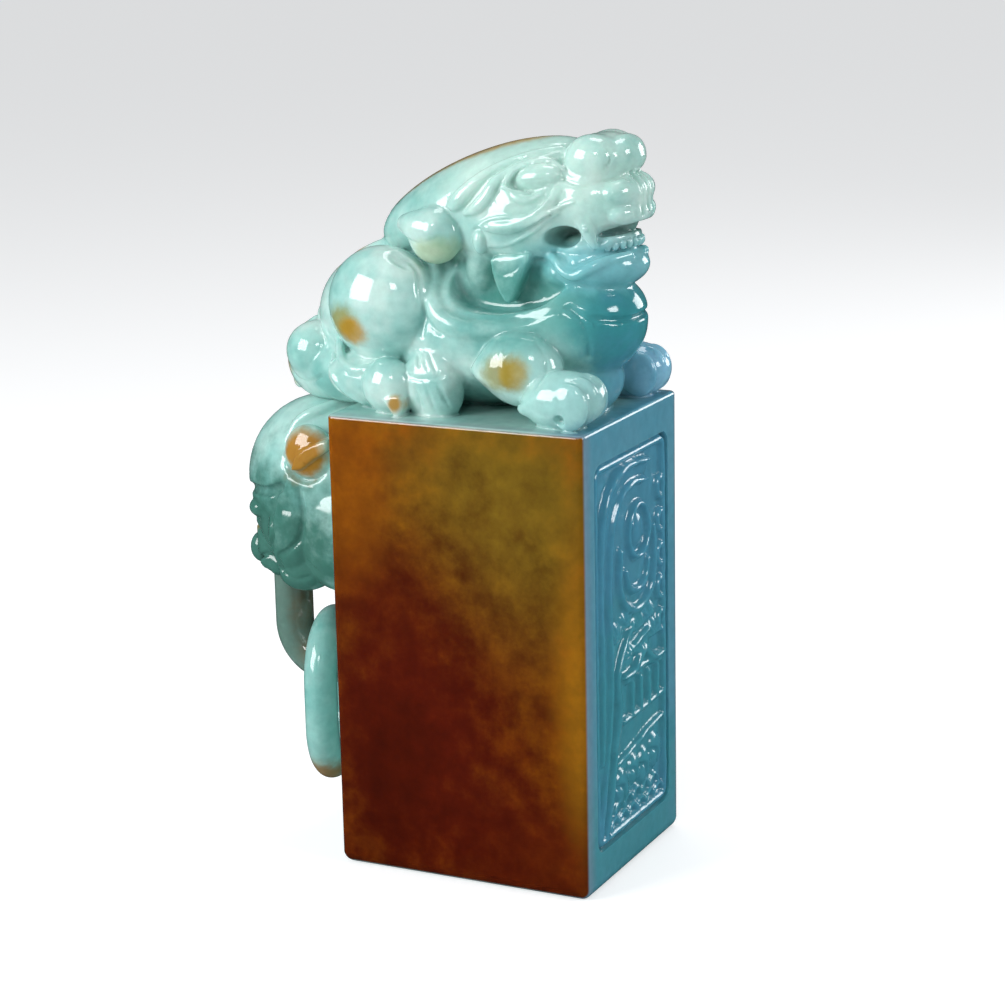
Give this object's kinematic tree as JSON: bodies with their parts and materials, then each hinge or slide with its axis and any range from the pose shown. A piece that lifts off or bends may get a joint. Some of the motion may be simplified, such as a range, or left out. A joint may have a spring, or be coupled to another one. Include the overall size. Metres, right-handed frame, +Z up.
{
  "type": "seal stamp",
  "caption": "Tall rectangular jade seal stamp with a crouching mythical beast as its grip, a cub's head on one side and loose carved rings hanging from its mouth.",
  "frame": {"origin": "middle of the flat printing face at the foot of the block", "axes": "+Z up the block to the beast, +X the way the beast looks, -Y its right side, so the cub's head and the rings are on the -X face"},
  "size_m": [0.0504, 0.0252, 0.0803],
  "materials": {
    "block_jade": "polished jadeite with a russet and orange skin on its broad faces",
    "relief_jade": "polished blue-green jadeite",
    "beast_jade": "polished pale green jadeite, translucent",
    "cub_jade": "polished green jadeite, translucent",
    "amber_jade": "polished amber-coloured jadeite skin",
    "upper_ring_jade": "polished grey-green jadeite",
    "lower_ring_jade": "polished green jadeite"
  },
  "bodies": {
    "stone": {"beast_beard_left": "beast_jade", "beast_beard_right": "beast_jade", "beast_brow_left": "beast_jade", "beast_brow_right": "beast_jade", "beast_chest": "beast_jade", "beast_ear_left": "beast_jade", "beast_ear_right": "beast_jade", "beast_eye_left": "beast_jade", "beast_eye_right": "beast_jade", "beast_fang_left": "beast_jade", "beast_fang_right": "beast_jade", "beast_foreleg_left": "beast_jade", "beast_foreleg_right": "beast_jade", "beast_front_claws_left": "beast_jade", "beast_front_claws_right": "beast_jade", "beast_front_foot_left": "beast_jade", "beast_front_foot_right": "beast_jade", "beast_haunch_left": "beast_jade", "beast_haunch_right": "beast_jade", "beast_hind_claws_left": "beast_jade", "beast_hind_claws_right": "beast_jade", "beast_hind_foot_left": "beast_jade", "beast_hind_foot_right": "beast_jade", "beast_horn_crest": "beast_jade", "beast_lower_jaw": "beast_jade", "beast_neck": "beast_jade", "beast_nose": "beast_jade", "beast_rump": "beast_jade", "beast_skull": "beast_jade", "beast_snout": "beast_jade", "beast_spine": "beast_jade", "beast_tail": "beast_jade", "beast_tail_lock_left": "beast_jade", "beast_tail_lock_right": "beast_jade", "beast_teeth": "beast_jade", "beast_torso": "beast_jade", "beast_whiskers_left": "beast_jade", "beast_whiskers_right": "beast_jade", "cub_bite_bar": "cub_jade", "cub_brow": "cub_jade", "cub_cheek_left": "cub_jade", "cub_cheek_right": "cub_jade", "cub_ear_left": "amber_jade", "cub_ear_right": "amber_jade", "cub_eye_left": "cub_jade", "cub_eye_right": "cub_jade", "cub_head": "cub_jade", "cub_jaw_left": "cub_jade", "cub_jaw_right": "cub_jade", "cub_jowl_left": "cub_jade", "cub_jowl_right": "cub_jade", "cub_nose": "cub_jade", "cub_upper_lip": "cub_jade", "relief_cliffs": "relief_jade", "relief_clouds": "relief_jade", "relief_pavilion": "relief_jade", "relief_pine": "relief_jade", "seal_block": "block_jade"},
    "upper_link": {"upper_ring": "upper_ring_jade"},
    "lower_link": {"lower_ring": "lower_ring_jade"}
  },
  "joints": [
    {"name": "upper_ring_swing", "type": "hinge", "parent": "stone", "child": "upper_link", "pos_m": [-0.0225, 0, 0.032], "axis": [0, 1, 0], "range_deg": [-2, 18]},
    {"name": "lower_ring_swing", "type": "hinge", "parent": "upper_link", "child": "lower_link", "pos_m": [-0.0225, 0, 0.018], "axis": [0.9703, 0.2419, 0], "range_deg": [-18, 18]}
  ]
}
